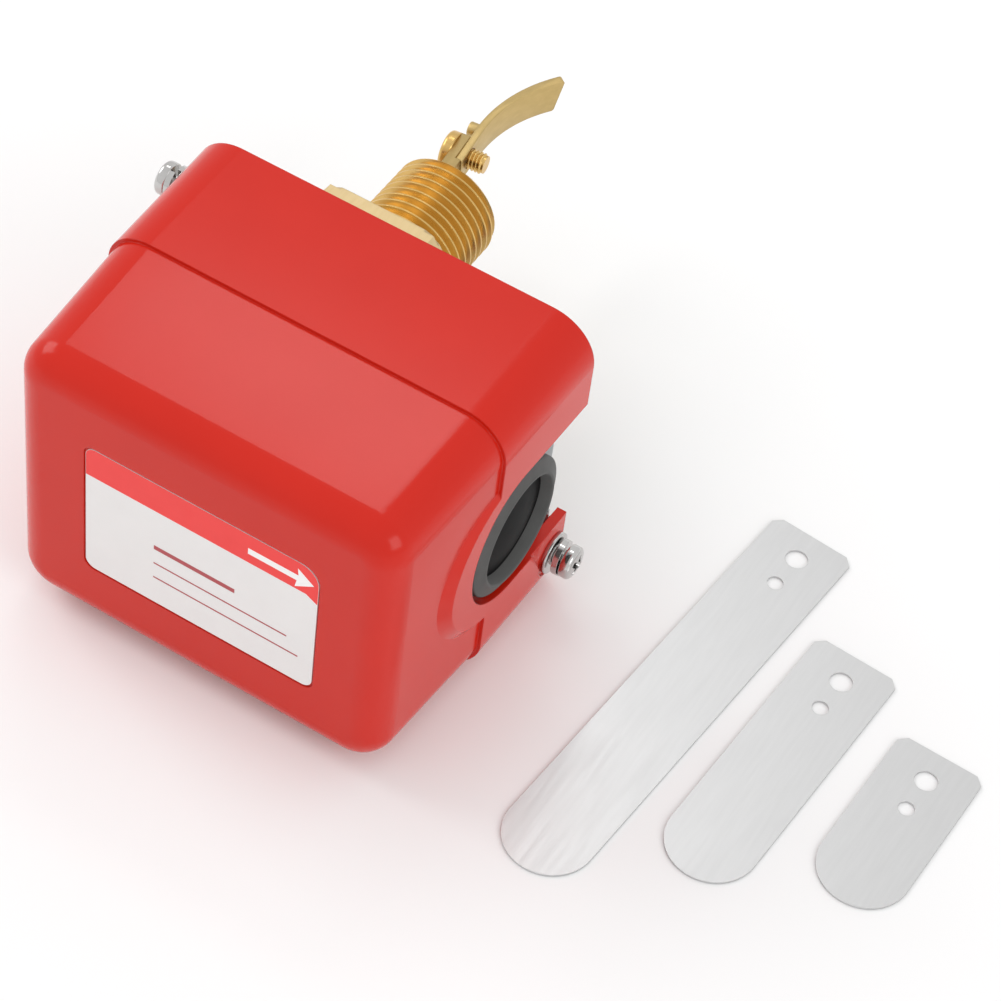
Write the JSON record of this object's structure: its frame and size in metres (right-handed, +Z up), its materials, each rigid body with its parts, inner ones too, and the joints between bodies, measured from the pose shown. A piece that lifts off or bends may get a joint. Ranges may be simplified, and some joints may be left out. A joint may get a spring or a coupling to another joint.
{
  "type": "paddle flow switch",
  "caption": "Paddle flow switch: gloss red cap over a steel frame, hexagon brass body with pipe thread, hinged lever with curved backing strip, and loose stainless paddles.",
  "frame": {"origin": "on the pipe thread's axis, at the hexagon's shoulder where the thread starts", "axes": "+Y out along the pipe thread towards the paddle; +X along the flow, towards the cable end; +Z up, with the switch lying on its long side and its label facing -Y"},
  "size_m": [0.167, 0.1335, 0.065],
  "materials": {
    "cover_red": "gloss",
    "label_print": "satin print",
    "rubber_black": "satin",
    "zinc_steel": "zinc plated",
    "brass": "machined",
    "fibre_grey": "matte",
    "nickel_steel": "nickel plated",
    "phosphor_bronze": "formed",
    "moulding_black": "matte",
    "insulating_sheet": "matte",
    "moulding_white": "matte",
    "spring_steel": "drawn wire",
    "ground_green": "gloss",
    "stainless": "cold rolled"
  },
  "bodies": {
    "housing": {"cover": "cover_red", "direction_label": "label_print", "grommet": "rubber_black", "frame_plate": "zinc_steel", "switch_bracket": "zinc_steel", "spring_bracket": "zinc_steel", "body": "brass", "bellows_ring": "brass", "terminal_1": "brass", "terminal_2": "brass", "terminal_3": "brass", "body_gasket": "fibre_grey", "body_screw_1": "nickel_steel", "body_screw_2": "nickel_steel", "body_screw_3": "nickel_steel", "body_screw_4": "nickel_steel", "pivot_pin": "nickel_steel", "bracket_screw_1": "nickel_steel", "bracket_screw_2": "nickel_steel", "switch_screw_1": "nickel_steel", "switch_screw_2": "nickel_steel", "spring_bracket_screw_1": "nickel_steel", "spring_bracket_screw_2": "nickel_steel", "terminal_screw_1": "nickel_steel", "terminal_screw_2": "nickel_steel", "terminal_screw_3": "nickel_steel", "ground_washer": "nickel_steel", "cover_screw_1": "nickel_steel", "cover_screw_2": "nickel_steel", "spring_washer_1": "nickel_steel", "spring_washer_2": "nickel_steel", "flat_washer_1": "nickel_steel", "flat_washer_2": "nickel_steel", "bellows": "phosphor_bronze", "switch_case": "moulding_black", "switch_insulator": "insulating_sheet", "range_spring": "spring_steel", "ground_screw": "ground_green"},
    "lever": {"lever_stem": "brass", "backing_strip": "brass", "locating_pin": "brass", "paddle_screw": "brass", "switch_arm": "zinc_steel", "arm_rivet_1": "brass", "arm_rivet_2": "brass"},
    "plunger": {"switch_plunger": "moulding_white"},
    "adjuster": {"adjusting_screw": "nickel_steel", "adjuster_clip": "nickel_steel"},
    "spring_seat": {"spring_nut": "brass"},
    "paddle_long": {"paddle_long": "stainless"},
    "paddle_medium": {"paddle_medium": "stainless"},
    "paddle_short": {"paddle_short": "stainless"}
  },
  "joints": [
    {"name": "lever_hinge", "type": "hinge", "parent": "housing", "child": "lever", "pos_m": [0, -0.01, 0], "axis": [0, 0, -1], "range_deg": [0, 9], "stiffness_Nm_per_rad": 0.45, "springref_deg": -8.59, "deforming": ["range_spring", "bellows"]},
    {"name": "plunger_slide", "type": "slide", "parent": "housing", "child": "plunger", "axis": [-1, 0, 0], "range_m": [0, 0.0012]},
    {"name": "adjuster_turn", "type": "hinge", "parent": "housing", "child": "adjuster", "pos_m": [-0.0165, -0.0352, 0], "axis": [1, 0, 0], "range_deg": [-900, 900]},
    {"name": "seat_travel", "type": "slide", "parent": "housing", "child": "spring_seat", "axis": [1, 0, 0], "range_m": [-0.00174, 0.00174]},
    {"name": "paddle_long_lift", "type": "slide", "parent": "housing", "child": "paddle_long", "axis": [0, 0, 1], "range_m": [0, 0.06]},
    {"name": "paddle_medium_lift", "type": "slide", "parent": "housing", "child": "paddle_medium", "axis": [0, 0, 1], "range_m": [0, 0.06]},
    {"name": "paddle_short_lift", "type": "slide", "parent": "housing", "child": "paddle_short", "axis": [0, 0, 1], "range_m": [0, 0.06]}
  ],
  "couplings": [
    {"joint": "plunger_slide", "follows": "lever_hinge", "m_per_rad": 0.0076},
    {"joint": "adjuster_turn", "follows": "seat_travel", "rad_per_m": -8976}
  ]
}
